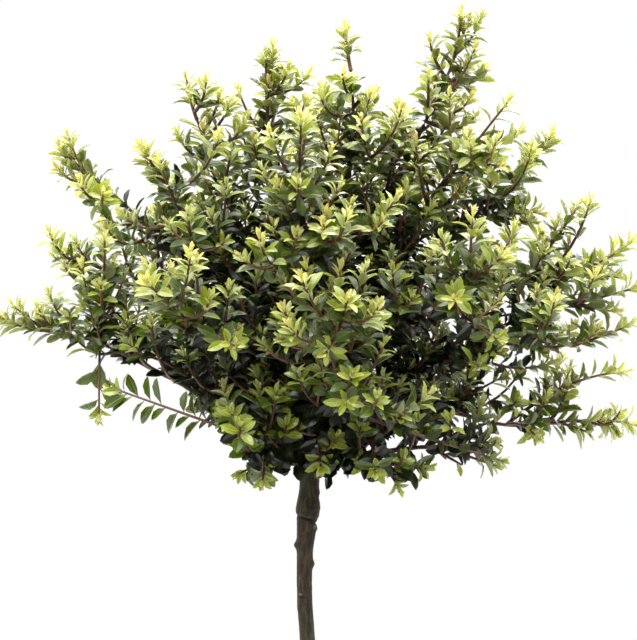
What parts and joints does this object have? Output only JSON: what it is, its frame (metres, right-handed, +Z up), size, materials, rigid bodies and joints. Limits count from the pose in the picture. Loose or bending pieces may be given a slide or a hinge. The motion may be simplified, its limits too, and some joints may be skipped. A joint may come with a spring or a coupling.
{
  "type": "standard lollipop topiary",
  "caption": "Evergreen shrub grown as a standard: a loose rounded head of small glossy leaves on one slender clear stem, rooted in the ground.",
  "frame": {"origin": "the middle of the flat cut under the trunk, at ground level", "axes": "+Z up along the trunk to the top of the crown; -Y is the side seen in the picture, with +X to its right"},
  "size_m": [0.7422, 0.6563, 1.4129],
  "materials": {
    "bark": "rough grey-brown bark with a green cast",
    "bough_bark": "smooth brown to red-brown bark",
    "foliage": "glossy dark green leaves, lime to golden yellow at the shoot tips"
  },
  "bodies": {
    "root": {"trunk": "bark", "bough_front_right_low": "bough_bark", "foliage_front_right_low": "foliage", "bough_front_left_low": "bough_bark", "foliage_front_left_low": "foliage", "bough_low_right": "bough_bark", "foliage_low_right": "foliage", "bough_right_low": "bough_bark", "foliage_right_low": "foliage", "bough_back_low": "bough_bark", "foliage_back_low": "foliage", "bough_back_right_low": "bough_bark", "foliage_back_right_low": "foliage", "bough_front_low": "bough_bark", "foliage_front_low": "foliage", "bough_back_left_low": "bough_bark", "foliage_back_left_low": "foliage", "bough_left_drooping": "bough_bark", "foliage_left_drooping": "foliage", "bough_right_long": "bough_bark", "foliage_right_long": "foliage", "bough_left_long": "bough_bark", "foliage_left_long": "foliage", "bough_front_middle": "bough_bark", "foliage_front_middle": "foliage", "bough_front_left": "bough_bark", "foliage_front_left": "foliage", "bough_front_right": "bough_bark", "foliage_front_right": "foliage", "bough_right_upper": "bough_bark", "foliage_right_upper": "foliage", "bough_left_shoulder": "bough_bark", "foliage_left_shoulder": "foliage", "bough_back_middle": "bough_bark", "foliage_back_middle": "foliage", "bough_back_left": "bough_bark", "foliage_back_left": "foliage", "bough_left_outer": "bough_bark", "foliage_left_outer": "foliage", "bough_right_shoulder": "bough_bark", "foliage_right_shoulder": "foliage", "bough_back_right_high": "bough_bark", "foliage_back_right_high": "foliage", "bough_front_high": "bough_bark", "foliage_front_high": "foliage", "bough_left_crest": "bough_bark", "foliage_left_crest": "foliage", "bough_right_high": "bough_bark", "foliage_right_high": "foliage", "bough_back_high": "bough_bark", "foliage_back_high": "foliage", "bough_tall_leader": "bough_bark", "foliage_tall_leader": "foliage", "bough_left_high": "bough_bark", "foliage_left_high": "foliage", "bough_left_top": "bough_bark", "foliage_left_top": "foliage", "bough_middle_top": "bough_bark", "foliage_middle_top": "foliage"}
  },
  "joints": []
}
